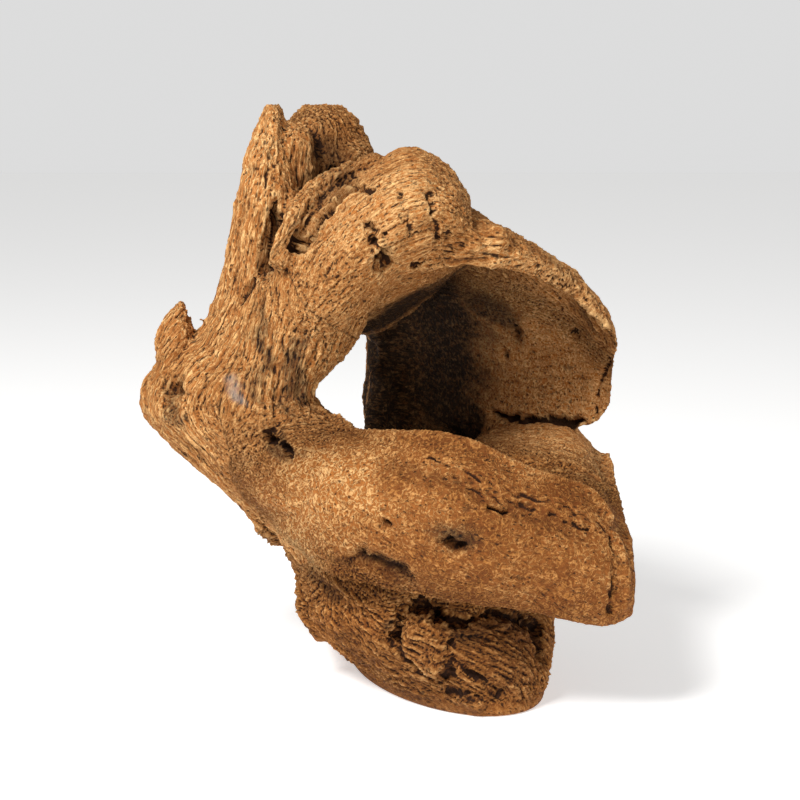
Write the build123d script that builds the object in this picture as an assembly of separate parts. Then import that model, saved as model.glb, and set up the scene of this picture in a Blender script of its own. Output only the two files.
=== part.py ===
"""Driftwood-shaped cave ornament for an aquarium, cast in resin as eleven bonded castings on locating pins.

The ornament is a gnarled hollow log standing on a root. A cave runs through it from a wide mouth, which faces -Y
and +X, to a back door behind the trunk. Frame: +Z up, -Y towards the mouth, origin on the ground under the middle.
Lengths are millimetres. The log is modelled whole, then sawn along flat seams, as a master pattern is.
"""

from build123d import *
from itertools import combinations
import math
import os

# Driving dimensions. Outlines are drawn on a block of the DRAWN sizes and stretched to these.
WIDTH = 157.2
DEPTH = 139.0
HEIGHT = 185.0
DRAWN_WIDTH = 157.2
DRAWN_DEPTH = 139.0
DRAWN_HEIGHT = 185.0

WALL = 9.0  # the hollow underside keeps at least this much resin all round
ROOF_WALL = 1.0  # multiplies the drawn thickness of the roof and back wall
FLOOR_WALL = 1.0  # multiplies the drawn thickness of the cave floor and the lip
CORE_OUTLINES = 3  # how many of the root's outlines the hollow underside follows
VENT_RADIUS = 2.5  # lets air out of the hollow underside into the cave
VENT_MIDDLE = (16, 10, 50)
VENT_HEIGHT = 66.0

PIN_RADIUS = 2.0
PIN_LENGTH = 12.0
PIN_CLEARANCE = 0.05  # radial
PIN_END_GAP = 0.5  # at each end of a pin
PIN_COVER = 1.2  # least resin round a pin
PIN_SPACING = 11.0  # least distance between two pins of one seam
PINS_PER_PAIR = 2
PIN_TRIES = 8  # how many of the deepest places are tried
PIN_TRY_SPACING = 3.0

COVER_POINTS = 6
CURVE_POINTS = 12  # points on a station's egg-shaped outline
RIM_POINTS = 12  # points that stand for one edge of a seam's outline
TOUCH = 0.001  # how far off a seam a point may be and still lie in it

SX = WIDTH / DRAWN_WIDTH
SY = DEPTH / DRAWN_DEPTH
SZ = HEIGHT / DRAWN_HEIGHT

# Upright lobes. Each station: height, left, right, front, back, skew in degrees.
# A negative skew brings the right-hand side of the outline forward.
TRUNK = [
    (8, -16, 18, -22, 36, -10),
    (24, -29, 22, -34, 40, -15),
    (40, -35, 23, -39, 40, -25),
    (53, -47, 23, -41, 38, -32),
    (66, -64, 16, -38, 35, -36),
    (78, -76, 2, -32, 33, -36),
    (87, -82, -15, -25, 32, -30),
    (94, -81, -22.5, -21, 32, -25),
    (101, -76, -19, -20, 32, -20),
    (108, -67, -12.5, -19, 31, -20),
    (117, -59, -7, -19, 31, -15),
    (130, -54, -9, -18, 30, -15),
    (144, -51, -18, -14, 28, -10),
    (158, -47.5, -26, -9, 24, 0),
    (172, -44, -30, -4, 20, 0),
    (185, -38, -34, 4, 12, 0),
]
STUMP = [
    (112, -46, -12, 4, 40, 0),
    (128, -48, -4, 3, 46, 0),
    (146, -45, -2, 6, 48, 0),
    (162, -41, -3, 8, 46, 0),
    (173, -37, -6, 10, 44, 0),
    (180, -32, -10, 14, 40, 0),
    (184.5, -27, -15, 20, 34, 0),
]
ROOT = [
    (0, -12, 50, -42, 44, -25),
    (9, -20, 53, -43, 47, -20),
    (20, -29, 54, -42, 50, -10),
    (33, -31, 51, -38, 50, -5),
    (48, -28, 48, -34, 50, -10),
    (62, -16, 42, -24, 48, 0),
]
# Lobes that lie along X. Each station: x, front, back, low, high, skew in degrees.
# A negative skew brings the outline's front up and its back down.
FOLD = [
    (-38, -10, 10, 114, 134, 0),
    (-27, -22, 16, 106, 149, 0),
    (-13, -28, 24, 114, 162, 0),
    (0, -30, 30, 127, 169, 0),
    (10, -29, 32, 134, 171, 0),
    (18, -26, 30, 137, 167, 0),
    (26, -18, 22, 139, 156, 0),
]
CROWN = [
    (-42, 4, 34, 116, 146, 0),
    (-24, -6, 48, 115, 152, -15),
    (-4, -14, 66, 108, 156, -30),
    (16, -16, 68, 122, 155, -30),
    (32, -12, 50, 132, 149, -20),
]
# Bent walls that run along X. Each station: x, then points (y, z, thickness) round the bend.
ROOF = [
    (-4, [(-14, 141, 12), (14, 147, 13), (46, 140, 13), (70, 110, 11), (72, 62, 12)]),
    (14, [(-18, 141, 12), (10, 147, 13), (42, 140, 13), (65, 108, 12), (66, 60, 12)]),
    (30, [(-18, 141, 10), (6, 144, 11), (32, 134, 11), (49, 108, 11), (50, 64, 11)]),
    (46, [(-14, 136, 8), (5, 137, 9), (24, 128, 9), (37, 108, 9), (38, 74, 9)]),
    (60, [(-9, 128, 6), (6, 128, 7), (20, 120, 7), (29, 104, 7), (30, 77, 7)]),
    (69, [(-4, 119, 5), (8, 118, 6), (17, 110, 6), (23, 98, 6), (24, 80, 5)]),
    (74, [(2, 110, 3), (8, 108, 4), (13, 103, 4), (17, 96, 4), (19, 87, 3)]),
]
TROUGH = [
    (-36, [(-6, 54, 14), (-10, 61, 14), (-10, 68, 14), (-2, 72, 13), (6, 66, 14), (14, 60, 16), (26, 56, 14)]),
    (-22, [(-24, 47, 14), (-29, 59, 14), (-27, 70, 13), (-18, 76, 12), (-6, 68, 14), (8, 60, 16), (40, 57, 14)]),
    (-10, [(-34, 44, 14), (-38, 58, 14), (-36, 72, 12), (-27, 80, 10), (-14, 71, 14), (6, 60, 16), (56, 58, 14)]),
    (2, [(-38, 43, 13), (-43, 57, 14), (-42, 72, 12), (-33, 81, 10), (-18, 72, 14), (8, 60, 16), (68, 60, 14)]),
    (16, [(-42, 41, 12), (-48, 57, 13), (-47, 73, 11), (-38, 82, 10), (-22, 72, 13), (8, 61, 15), (66, 62, 14)]),
    (30, [(-43, 39, 11), (-50, 55, 13), (-49, 69, 11), (-41, 78, 9), (-25, 70, 12), (6, 64, 15), (56, 68, 13)]),
    (44, [(-43, 37, 11), (-49, 52, 12), (-48, 64, 11), (-42, 71, 9), (-26, 66, 12), (4, 66, 14), (46, 71, 13)]),
    (56, [(-42, 34, 11), (-48, 48, 12), (-47, 60, 11), (-42, 67, 9), (-26, 63, 12), (2, 67, 14), (39, 73, 12)]),
    (66, [(-41, 32, 10), (-46, 43, 12), (-45, 54, 11), (-40, 60, 9), (-24, 59, 11), (2, 64, 12), (32, 70, 10)]),
    (75, [(-40, 34, 8), (-43, 41, 9), (-42, 48, 9), (-36, 53, 8), (-20, 54, 9), (3, 60, 9), (25, 67, 8)]),
]
# The curled hook on the left end: centre line points and their radii.
HOOK = [
    ((-68, 9, 94), 7.5),
    ((-68.5, 9, 105), 7.0),
    ((-68.5, 9, 113), 6.0),
    ((-65, 8, 119), 4.2),
    ((-60.5, 7, 118), 2.0),
]
# The seams the log is sawn along: a drawn point on each and its normal.
GROUND_SEAM = ((0, 0, 26), (0, 0, 1))  # root and heel from what stands on them
HEEL_SEAM = ((5, 0, 13), (-1, 0, 0))  # heel from root
WAIST_SEAM = ((-20, 0, 112), (0.427, 0, 1))  # runs out through the crack under the back wall
LIP_SEAM = ((-8, 0, 87), (0.98, 0, 0.196))  # trunk from the lip, floor and back wall
FRONT_SEAM = ((0, -20, 70), (0, 1, 0))  # lip from floor
REAR_SEAM = ((0, 46, 70), (0, 1, 0))  # floor from back wall
KNOB_SEAM = ((-58, 0, 90), (-1, 0, 0))  # knob and hook from trunk
HOOK_SEAM = ((-68, 0, 101), (0.2, 0, 1))  # hook from knob
ROOF_SEAM = ((17, 0, 139), (0.83, 0, -0.55))  # roof from fold
CREVICE_SEAM = ((-40, -8, 134), (-0.594, 0.451, 0.665))  # ridge and stump from fold
SEAMS = [GROUND_SEAM, HEEL_SEAM, WAIST_SEAM, LIP_SEAM, FRONT_SEAM]
SEAMS += [REAR_SEAM, KNOB_SEAM, HOOK_SEAM, ROOF_SEAM, CREVICE_SEAM]


def stretched(x, y, z):
    """A drawn point at the driving sizes."""
    return Vector(x * SX, y * SY, z * SZ)


def egg(low_u, high_u, low_v, high_v, skew):
    """Points (u, v) round an egg shape that just fills a rectangle, leaning by the skew."""
    lean = math.radians(skew)
    mid_u, half_u = (low_u + high_u) / 2, (high_u - low_u) / 2
    mid_v, half_v = (low_v + high_v) / 2, (high_v - low_v) / 2
    turns = [2 * math.pi * i / CURVE_POINTS for i in range(CURVE_POINTS)]
    return [(mid_u + half_u * math.cos(t), mid_v + half_v * math.sin(t + lean)) for t in turns]


def skinned(outlines):
    """A solid skinned over closed outlines, which share one spacing of their points so that the skin runs evenly."""
    count = len(outlines[0])
    knots = [0.0]
    for i in range(count):
        knots.append(knots[-1] + sum((o[(i + 1) % count] - o[i]).length for o in outlines))
    knots = [k / knots[-1] for k in knots]
    return Solid.make_loft([Wire([Edge.make_spline(o, periodic=True, parameters=knots)]) for o in outlines])


def upright_lobe(stations, inset=0.0):
    """A lobe skinned over egg-shaped outlines at rising heights, shrunk sideways by the inset."""
    outlines = []
    for height, left, right, front, back, skew in stations:
        box = (left + inset / SX, right - inset / SX, front + inset / SY, back - inset / SY)
        outlines.append([stretched(x, y, height) for x, y in egg(*box, skew)])
    return skinned(outlines)


def lying_lobe(stations):
    """A lobe skinned over egg-shaped outlines along X."""
    outlines = []
    for x, front, back, low, high, skew in stations:
        outlines.append([stretched(x, y, z) for y, z in egg(front, back, low, high, skew)])
    return skinned(outlines)


def bent_wall(stations, thickness_factor):
    """A wall whose cross-section follows the bend's points, as thick as each says."""
    wires = []
    for x, bend in stations:
        near, far = [], []
        for i, (y, z, thickness) in enumerate(bend):
            before, after = bend[max(i - 1, 0)], bend[min(i + 1, len(bend) - 1)]
            along_y, along_z = (after[0] - before[0]) * SY, (after[1] - before[1]) * SZ
            length = math.hypot(along_y, along_z)
            half = thickness * thickness_factor / 2
            off_y, off_z = -along_z / length * half, along_y / length * half
            near.append(Vector(x * SX, y * SY + off_y, z * SZ + off_z))
            far.append(Vector(x * SX, y * SY - off_y, z * SZ - off_z))
        far.reverse()
        ends = [Edge.make_line(near[-1], far[0]), Edge.make_line(far[-1], near[0])]
        wires.append(Wire([Edge.make_spline(near), ends[0], Edge.make_spline(far), ends[1]]))
    return Solid.make_loft(wires)


def hook_horn():
    """The curled horn, skinned over circles square to its centre line."""
    wires = []
    centres = [stretched(*centre) for centre, _ in HOOK]
    for i, (_, radius) in enumerate(HOOK):
        before, after = centres[max(i - 1, 0)], centres[min(i + 1, len(HOOK) - 1)]
        level = Plane(origin=centres[i], x_dir=(0, 1, 0), z_dir=after - before)
        wires.append(Wire.make_circle(radius, level))
    return Solid.make_loft(wires)


def seam_plane(seam):
    """The plane of a seam, with its normal stretched as a surface's is."""
    (x, y, z), (along_x, along_y, along_z) = seam
    return Plane(origin=stretched(x, y, z), z_dir=Vector(along_x / SX, along_y / SY, along_z / SZ))


def whole_log():
    """The log as one solid, hollowed from below and vented into the cave."""
    lobes = [upright_lobe(STUMP), upright_lobe(ROOT), lying_lobe(FOLD), lying_lobe(CROWN)]
    lobes += [bent_wall(ROOF, ROOF_WALL), bent_wall(TROUGH, FLOOR_WALL), hook_horn()]
    log = upright_lobe(TRUNK)
    for lobe in lobes:
        log = log.fuse(lobe)
    core = upright_lobe(ROOT[:CORE_OUTLINES], WALL)
    vent = Cylinder(VENT_RADIUS, VENT_HEIGHT * SZ).moved(Location(stretched(*VENT_MIDDLE)))
    return log.cut(core, vent)


def sawn(solid, seam):
    """The parts of a solid behind and beyond a seam."""
    plane = seam_plane(seam)
    return split(solid, bisect_by=plane, keep=Keep.BOTTOM), split(solid, bisect_by=plane, keep=Keep.TOP)


def castings_of(log):
    """The castings by name, sawn from the log one seam after another."""
    below, above = sawn(log, GROUND_SEAM)
    parts = {}
    parts["root_casting"], parts["heel_casting"] = sawn(below, HEEL_SEAM)
    lower, upper = sawn(above, WAIST_SEAM)
    left, right = sawn(lower, LIP_SEAM)
    parts["trunk_casting"], left_end = sawn(left, KNOB_SEAM)
    parts["knob_casting"], parts["hook_casting"] = sawn(left_end, HOOK_SEAM)
    parts["lip_casting"], behind_lip = sawn(right, FRONT_SEAM)
    parts["floor_casting"], parts["back_wall_casting"] = sawn(behind_lip, REAR_SEAM)
    crest, parts["roof_casting"] = sawn(upper, ROOF_SEAM)
    parts["fold_casting"], parts["stump_casting"] = sawn(crest, CREVICE_SEAM)
    return {name: max(part.solids(), key=lambda s: s.volume) for name, part in parts.items()}


def seam_flats(part, plane):
    """The flat faces of a casting that lie in a seam."""
    flats = [f for f in part.faces() if f.geom_type == GeomType.PLANE]
    return [f for f in flats if all(abs(plane.to_local_coords(v.center()).Z) < TOUCH for v in f.vertices())]


def pin_places(region, plane):
    """Places for pins on a region of a seam: (distance from the rim, point)."""
    rim = []
    for edge in region.edges():
        points = [plane.to_local_coords(p) for p in edge.positions([i / RIM_POINTS for i in range(RIM_POINTS + 1)])]
        rim += list(zip(points, points[1:]))
    across = [p.X for p, _ in rim]
    along = [p.Y for p, _ in rim]
    places = []
    for j in range(int(min(along)), int(max(along)) + 1):
        crossings = [a.X + (j - a.Y) * (b.X - a.X) / (b.Y - a.Y) for a, b in rim if (a.Y > j) != (b.Y > j)]
        for i in range(int(min(across)), int(max(across)) + 1):
            if sum(x > i for x in crossings) % 2:
                depth = min(math.hypot(a.X - i, a.Y - j) for a, _ in rim)
                places.append((depth, plane.from_local_coords(Vector(i, j, 0))))
    return places


def meeting_places(one, other, plane):
    """The places for pins on everything that two castings share of a seam."""
    places = []
    for face in seam_flats(one, plane):
        for mate in seam_flats(other, plane):
            for region in (face & mate or ShapeList()).faces():
                places += pin_places(region, plane)
    return places


def cylinder_at(point, plane, radius, length):
    """A cylinder square to a seam, centred on the point."""
    return Cylinder(radius, length).moved(Location(Plane(origin=point, z_dir=plane.z_dir)))


def cover_points(point, plane):
    """Points on the two end rims of the resin that a pin's holes must keep round them."""
    reach = PIN_LENGTH / 2 + PIN_END_GAP
    turns = [2 * math.pi * i / COVER_POINTS for i in range(COVER_POINTS)]
    rim = [(PIN_RADIUS + PIN_COVER) * (plane.x_dir * math.cos(t) + plane.y_dir * math.sin(t)) for t in turns]
    return [point + side * reach * plane.z_dir + r for side in (-1, 1) for r in rim]


def pins_between(one, other, plane):
    """Centres of up to two pins that join two castings across a seam, well inside both."""
    tried, centres = [], []
    for depth, point in sorted(meeting_places(one, other, plane), key=lambda place: -place[0]):
        if depth < PIN_RADIUS + PIN_COVER or len(tried) == PIN_TRIES or len(centres) == PINS_PER_PAIR:
            break
        if any((point - t).length < PIN_TRY_SPACING for t in tried):
            continue
        if any((point - c).length < PIN_SPACING for c in centres):
            continue
        tried.append(point)
        if all(one.is_inside(p) or other.is_inside(p) for p in cover_points(point, plane)):
            centres.append(point)
    return centres


def pins_and_holes(castings):
    """All the pins, and by casting name the holes they sit in."""
    pins, holes = [], {name: [] for name in castings}
    for seam in SEAMS:
        plane = seam_plane(seam)
        meeting = [name for name, part in castings.items() if seam_flats(part, plane)]
        for one, other in combinations(meeting, 2):
            for centre in pins_between(castings[one], castings[other], plane):
                pins.append(cylinder_at(centre, plane, PIN_RADIUS, PIN_LENGTH))
                hole = cylinder_at(centre, plane, PIN_RADIUS + PIN_CLEARANCE, PIN_LENGTH + 2 * PIN_END_GAP)
                holes[one].append(hole)
                holes[other].append(hole)
    return pins, holes


def ornament():
    """Every piece by name, standing on the ground with the box's middle at the origin."""
    castings = castings_of(whole_log())
    pins, holes = pins_and_holes(castings)
    pieces = {name: part.cut(*holes[name]) if holes[name] else part for name, part in castings.items()}
    pieces["locating_pins"] = Compound(pins)
    box = Compound(list(castings.values())).bounding_box()
    middle = box.center()
    to_origin = Location((-middle.X, -middle.Y, -box.min.Z))
    return {name: piece.moved(to_origin) for name, piece in pieces.items()}


def main():
    os.makedirs("parts", exist_ok=True)
    for name, piece in ornament().items():
        export_step(piece, f"parts/{name}.step")


if __name__ == "__main__":
    main()
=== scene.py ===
"""Driftwood-shaped cave ornament: one sculpted log, sawn into its castings, with fibrous weathered grain.

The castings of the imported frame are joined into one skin, sculpted, given their grain by a Geometry Nodes tree,
and sawn again along the same seams, so that the surface runs over the seams without a step. Lengths in the tables
are millimetres unless a comment says metres; everything given to Blender is in metres.
"""

import math

import bmesh
import bpy
import numpy as np
from mathutils import Matrix, Vector
from mathutils.bvhtree import BVHTree


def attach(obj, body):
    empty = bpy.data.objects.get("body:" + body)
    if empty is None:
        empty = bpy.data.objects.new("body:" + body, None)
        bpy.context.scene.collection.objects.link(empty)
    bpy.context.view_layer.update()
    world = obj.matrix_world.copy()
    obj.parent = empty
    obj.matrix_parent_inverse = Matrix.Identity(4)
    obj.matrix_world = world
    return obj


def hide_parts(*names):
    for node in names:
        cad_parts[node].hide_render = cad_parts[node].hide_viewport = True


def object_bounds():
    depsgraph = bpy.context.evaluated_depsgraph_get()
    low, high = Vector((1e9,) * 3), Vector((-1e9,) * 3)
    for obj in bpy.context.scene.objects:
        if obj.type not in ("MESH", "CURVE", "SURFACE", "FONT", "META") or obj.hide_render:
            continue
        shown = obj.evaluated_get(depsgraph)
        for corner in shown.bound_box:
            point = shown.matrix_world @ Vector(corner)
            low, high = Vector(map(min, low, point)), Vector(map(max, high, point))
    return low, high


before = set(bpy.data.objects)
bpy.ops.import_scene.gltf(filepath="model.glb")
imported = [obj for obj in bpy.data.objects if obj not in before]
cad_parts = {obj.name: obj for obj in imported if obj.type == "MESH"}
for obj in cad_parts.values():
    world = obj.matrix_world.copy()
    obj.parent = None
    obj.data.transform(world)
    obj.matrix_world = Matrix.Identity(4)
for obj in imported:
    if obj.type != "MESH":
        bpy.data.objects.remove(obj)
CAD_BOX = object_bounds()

bl_info = {
    "name": "Cave Log Ornament",
    "version": (1, 0, 0),
    "blender": (4, 5, 0),
    "location": "3D View > Sidebar > Cave Log",
    "description": "Builds a driftwood-shaped aquarium cave from its packed castings",
    "category": "Object",
}

MM = 0.001
LOW = np.array(CAD_BOX[0][:]) / MM
HIGH = np.array(CAD_BOX[1][:]) / MM

# The seams, each a point and a normal in millimetres, and the order of sawing: (seam, what lies behind it, what
# lies beyond it).
SEAMS = {
    "ground": ((0, 0, 26), (0, 0, 1)),
    "heel": ((8.58, 0, 13), (-1, 0, 0)),
    "waist": ((-16.42, 0, 112), (0.427, 0, 1)),
    "lip": ((-4.42, 0, 87), (0.98, 0, 0.196)),
    "front": ((0, -32.69, 70), (0, 1, 0)),
    "rear": ((0, 33.31, 70), (0, 1, 0)),
    "knob": ((-54.42, 0, 90), (-1, 0, 0)),
    "hook": ((-64.42, 0, 101), (0.2, 0, 1)),
    "roof": ((20.58, 0, 139), (0.83, 0, -0.55)),
    "crevice": ((-36.42, -20.69, 134), (-0.594, 0.451, 0.665)),
}
LEFT_SIDE = ("knob", "trunk_casting", ("hook", "knob_casting", "hook_casting"))
RIGHT_SIDE = ("front", "lip_casting", ("rear", "floor_casting", "back_wall_casting"))
LOWER = ("lip", LEFT_SIDE, RIGHT_SIDE)
UPPER = ("roof", ("crevice", "fold_casting", "stump_casting"), "roof_casting")
SAWING = ("ground", ("heel", "root_casting", "heel_casting"), ("waist", LOWER, UPPER))
CASTINGS = ["root_casting", "heel_casting", "trunk_casting", "knob_casting", "hook_casting", "lip_casting",
            "floor_casting", "back_wall_casting", "roof_casting", "fold_casting", "stump_casting"]

# The lines that the wood's fibres follow: points in millimetres, the wood's radius there, and three shares, where
# 0 is none and 1 is full: how tangled the fibres are, how pale the wood is and how deep its relief is.
SPINES = {
    "trunk": ([(34, -8, 0), (14, -8, 30), (-14, -6, 55), (-46, -6, 72), (-62, -4, 92), (-44, -4, 122),
               (-37, -4, 150), (-32, -5, 186)], 30, 0.12, 0.6, 1.0),
    "mouth's side": ([(-24, -20, 50), (-30, -18, 80), (-27, -18, 105), (-22, -16, 126)], 24, 0.2, 0.6, 1.0),
    "stump": ([(-22, 12, 112), (-20, 14, 140), (-19, 14, 165), (-18, 15, 188)], 24, 0.6, 0.25, 1.0),
    "fold": ([(-16, -16, 130), (-8, -15, 138), (6, -13, 147), (18, -11, 151), (32, -11, 151)],
             26, 0.25, 0.5, 0.85),
    "roof": ([(-2, 10, 142), (18, 0, 146), (36, -4, 142), (52, -6, 134), (66, -4, 122), (78, -2, 108)],
             15, 0.4, 0.6, 1.0),
    "wall": ([(-6, 56, 92), (18, 52, 92), (36, 38, 94), (52, 24, 92), (66, 14, 92), (80, 6, 92)],
             22, 0.55, 0.85, 0.45),
    "lip": ([(-34, -30, 62), (-8, -46, 66), (20, -56, 62), (46, -57, 55), (66, -54, 47), (80, -50, 42)],
            22, 1.0, 0.02, 0.25),
    "root": ([(54, -10, 0), (44, -14, 14), (24, -16, 26), (2, -14, 36), (-14, -12, 50)], 40, 0.4, -0.15, 1.4),
}
SPINE_STEPS = 12  # points on a smooth line between two given ones
MARK_STEP = 3  # every third of them is enough for a carved line or for built-up wood


# The inputs of the grain's relief and their usual values, in metres.
RELIEF = {
    "Lump size": 0.013,
    "Lump depth": 0.0024,
    "Ripple width": 0.0034,
    "Ripple length": 0.036,
    "Ripple depth": 0.001,
    "Fibre width": 0.0011,
    "Fibre length": 0.013,
    "Fibre depth": 0.0005,
    "Pore depth": 0.0004,
}


class CAVELOG_PG_sizes(bpy.types.PropertyGroup):
    """Sizes of the log's surface."""

    skin: bpy.props.FloatProperty(name="Skin", description="Edge length of the sculpted skin",
                                  default=0.00055, unit="LENGTH", min=0.0003)
    lump_size: bpy.props.FloatProperty(name="Lump size", description="Width of the wood's broad lumps",
                                       default=RELIEF["Lump size"], unit="LENGTH")
    lump_depth: bpy.props.FloatProperty(name="Lump depth", description="Depth of the broad lumps",
                                        default=RELIEF["Lump depth"], unit="LENGTH")
    ripple_width: bpy.props.FloatProperty(name="Ripple width", description="Width of ripples along the grain",
                                          default=RELIEF["Ripple width"], unit="LENGTH")
    ripple_length: bpy.props.FloatProperty(name="Ripple length", description="Length of the ripples",
                                           default=RELIEF["Ripple length"], unit="LENGTH")
    ripple_depth: bpy.props.FloatProperty(name="Ripple depth", description="Depth of the ripples",
                                          default=RELIEF["Ripple depth"], unit="LENGTH")
    fibre_width: bpy.props.FloatProperty(name="Fibre width", description="Width of a bundle of fibres",
                                         default=RELIEF["Fibre width"], unit="LENGTH")
    fibre_length: bpy.props.FloatProperty(name="Fibre length", description="Length of a bundle of fibres",
                                          default=RELIEF["Fibre length"], unit="LENGTH")
    fibre_depth: bpy.props.FloatProperty(name="Fibre depth", description="Depth between bundles of fibres",
                                         default=RELIEF["Fibre depth"], unit="LENGTH")
    pore_depth: bpy.props.FloatProperty(name="Pore depth", description="Depth of the pores in the relief",
                                        default=RELIEF["Pore depth"], unit="LENGTH")


class CAVELOG_PG_colours(bpy.types.PropertyGroup):
    """Colours of the finishes, as hex sRGB."""

    # Pore is also the colour of the painted shade in hollows, cracks and carved cuts.
    pore: bpy.props.StringProperty(name="Pore", description="Bottom of pores and cracks", default="2a1306")
    # The darkest colour paints stains and the painted shade in the cave and in recesses.
    char: bpy.props.StringProperty(name="Char", description="Darkest stain, in the cave", default="120a05")
    bark: bpy.props.StringProperty(name="Bark", description="Darker wood", default="6c3a12")
    wood: bpy.props.StringProperty(name="Wood", description="Middle tone of the wood", default="ab6a30")
    amber: bpy.props.StringProperty(name="Amber", description="Fibres of darker wood", default="c58440")
    fibre: bpy.props.StringProperty(name="Fibre", description="Raised pale fibres", default="eaba7c")
    stain: bpy.props.StringProperty(name="Stain", description="Grey stain", default="8a8784")
    pin: bpy.props.StringProperty(name="Pin", description="Nylon of the pins", default="d8d4c6")


def linear(hex_colour):
    """A hex sRGB colour as linear RGBA."""
    values = [int(hex_colour[i:i + 2], 16) / 255 for i in (0, 2, 4)]
    return [v / 12.92 if v <= 0.04045 else ((v + 0.055) / 1.055) ** 2.4 for v in values] + [1.0]


def add_node(tree, kind, inputs=None, **settings):
    """Adds a node with its settings; an input is a value or another node's output."""
    node = tree.nodes.new(kind)
    for name, value in settings.items():
        setattr(node, name, value)
    for key, value in (inputs or {}).items():
        if isinstance(value, bpy.types.NodeSocket):
            tree.links.new(value, node.inputs[key])
        else:
            node.inputs[key].default_value = value
    return node


# ---- the skin ----

def mesh_object(name, mesh):
    """A new object that shows the mesh."""
    made = bpy.data.objects.new(name, mesh)
    bpy.context.scene.collection.objects.link(made)
    return made


def baked(made, name):
    """The object's evaluated mesh, as a plain mesh; the object is removed."""
    graph = bpy.context.evaluated_depsgraph_get()
    mesh = bpy.data.meshes.new_from_object(made.evaluated_get(graph), preserve_all_data_layers=True,
                                           depsgraph=graph)
    mesh.name = name
    bpy.data.objects.remove(made)
    return mesh


def points_of(mesh):
    """A mesh's points as an array in millimetres."""
    flat = np.empty(len(mesh.vertices) * 3, np.float32)
    mesh.vertices.foreach_get("co", flat)
    return flat.reshape(-1, 3).astype(np.float64) / MM


def set_points(mesh, points):
    """Gives a mesh its points, in millimetres."""
    mesh.vertices.foreach_set("co", (points * MM).astype(np.float32).ravel())
    mesh.update()


def normals_of(mesh):
    """A mesh's point normals as an array."""
    flat = np.empty(len(mesh.vertices) * 3, np.float32)
    mesh.vertex_normals.foreach_get("vector", flat)
    return flat.reshape(-1, 3).astype(np.float64)


def edges_of(mesh):
    """The two point numbers of every edge."""
    flat = np.empty(len(mesh.edges) * 2, np.int32)
    mesh.edges.foreach_get("vertices", flat)
    return flat.reshape(-1, 2)


def relaxed(values, edges, rounds, weight=0.5):
    """Values at the points after some rounds of moving each towards the mean of its neighbours."""
    a, b = edges[:, 0], edges[:, 1]
    count = len(values)
    degree = np.maximum(np.bincount(a, minlength=count) + np.bincount(b, minlength=count), 1)
    values = values.copy()
    columns = values.reshape(count, -1)
    for _ in range(rounds):
        for c in range(columns.shape[1]):
            column = columns[:, c]
            total = np.bincount(a, column[b], count) + np.bincount(b, column[a], count)
            columns[:, c] = column + weight * (total / degree - column)
    return values


def draw_back(points):
    """Draws the hook's tip back from the trunk, so that the two stay apart."""
    start, end = (Vector(p) for p in HOOK_TIP)
    for point in points:
        here = point.co / MM
        share = min(max((here - start).dot(end - start) / (end - start).length_squared, -0.5), 1)
        away = (here - start - (end - start) * share).length
        if away < HOOK_TIP_RADII[0] + (HOOK_TIP_RADII[1] - HOOK_TIP_RADII[0]) * share:
            point.co.x -= HOOK_DRAWN_BACK * MM * min(share + 0.5, 1)


def joined_skin(size):
    """One closed skin round all the castings, with even small faces."""
    whole = bmesh.new()
    for name in CASTINGS:
        start = len(whole.verts)
        whole.from_mesh(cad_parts[name].data)
        whole.verts.ensure_lookup_table()
        bmesh.ops.remove_doubles(whole, verts=whole.verts[start:], dist=1e-6)
        if name == "hook_casting":
            draw_back(whole.verts[start:])
    for half, places in BUILT_UP.values():
        for point in smooth_line([place(*p) for p in places])[0][::MARK_STEP]:
            bmesh.ops.create_icosphere(whole, subdivisions=2, radius=half * MM,
                                       matrix=Matrix.Translation(point * MM))
    mesh = bpy.data.meshes.new("log_skin")
    whole.to_mesh(mesh)
    whole.free()
    made = mesh_object("log_skin", mesh)
    remesh = made.modifiers.new("skin", "REMESH")
    remesh.mode = "VOXEL"
    remesh.voxel_size = size
    return baked(made, "log_skin")


# ---- what is carved and modelled on it ----

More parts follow.
